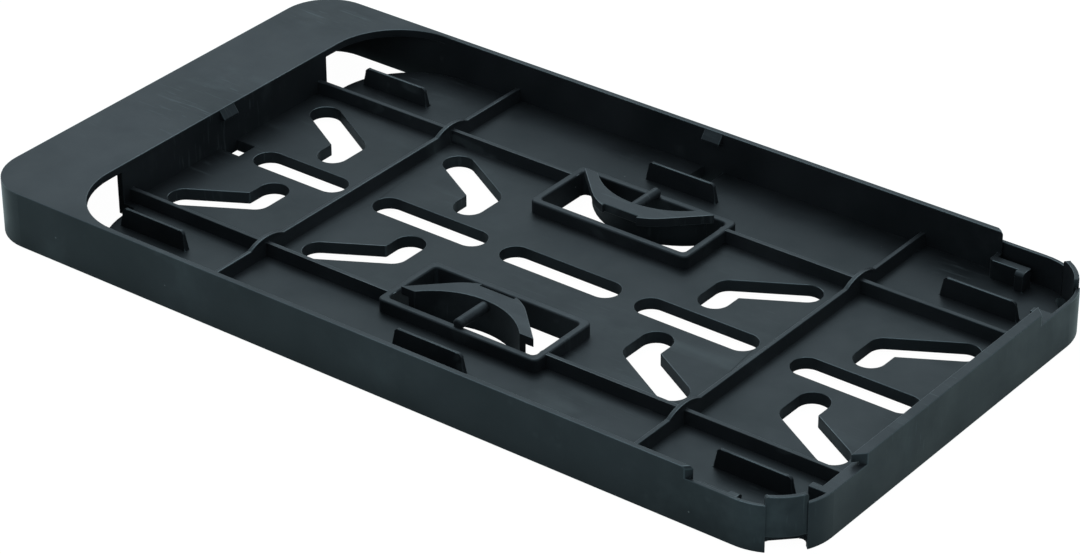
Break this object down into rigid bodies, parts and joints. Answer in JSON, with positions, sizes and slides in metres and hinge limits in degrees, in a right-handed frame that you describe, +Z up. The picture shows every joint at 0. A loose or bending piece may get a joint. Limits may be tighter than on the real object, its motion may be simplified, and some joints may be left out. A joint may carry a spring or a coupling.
{
  "type": "number plate holder",
  "caption": "Shallow moulded tray for a vehicle number plate, with a slotted floor, spring bows in windows, snap noses on the walls and a wide band at one end.",
  "frame": {"origin": "bottom centre of the bounding box, on the underside", "axes": "+X along the tray from the wide band to the end with the lip, +Z up, out of the open side"},
  "size_m": [0.1952, 0.1048, 0.0121],
  "materials": {
    "plastic": "satin charcoal black moulded plastic"
  },
  "bodies": {
    "root": {"holder": "plastic"}
  },
  "joints": []
}
